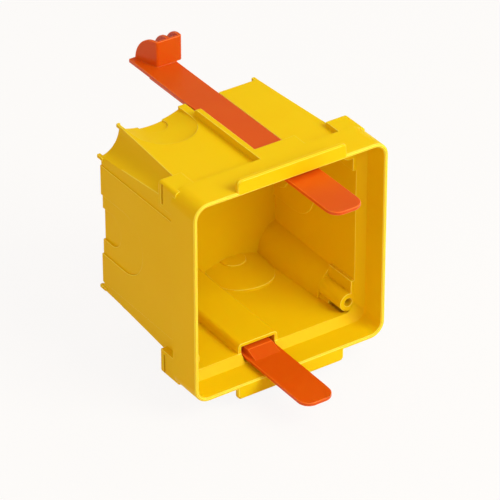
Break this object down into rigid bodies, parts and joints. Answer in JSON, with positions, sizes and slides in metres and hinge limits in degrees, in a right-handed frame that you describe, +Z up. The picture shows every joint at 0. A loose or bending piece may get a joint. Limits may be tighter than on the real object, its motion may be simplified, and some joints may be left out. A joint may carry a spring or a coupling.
{
  "type": "cavity wall box",
  "caption": "Square moulded wall box for hollow plasterboard walls, with a front collar, corner screw bosses, thin knock-out panels and pull straps whose heads clamp behind the board.",
  "frame": {"origin": "centre of the four device screw bosses, on the plane of their front faces", "axes": "+X to the right seen from the front, +Y into the wall, +Z up"},
  "size_m": [0.075, 0.119, 0.0888],
  "materials": {
    "yellow_plastic": "satin moulded, slightly glossy on flat faces",
    "orange_plastic": "satin moulded"
  },
  "bodies": {
    "box": {"wall_box": "yellow_plastic"},
    "upper": {"upper_strap": "orange_plastic"},
    "lower": {"lower_strap": "orange_plastic"}
  },
  "joints": [
    {"name": "upper_pull", "type": "slide", "parent": "box", "child": "upper", "axis": [0, -1, 0], "range_m": [-0.015, 0.0645]},
    {"name": "lower_pull", "type": "slide", "parent": "box", "child": "lower", "axis": [0, -1, 0], "range_m": [-0.015, 0.0645]}
  ]
}
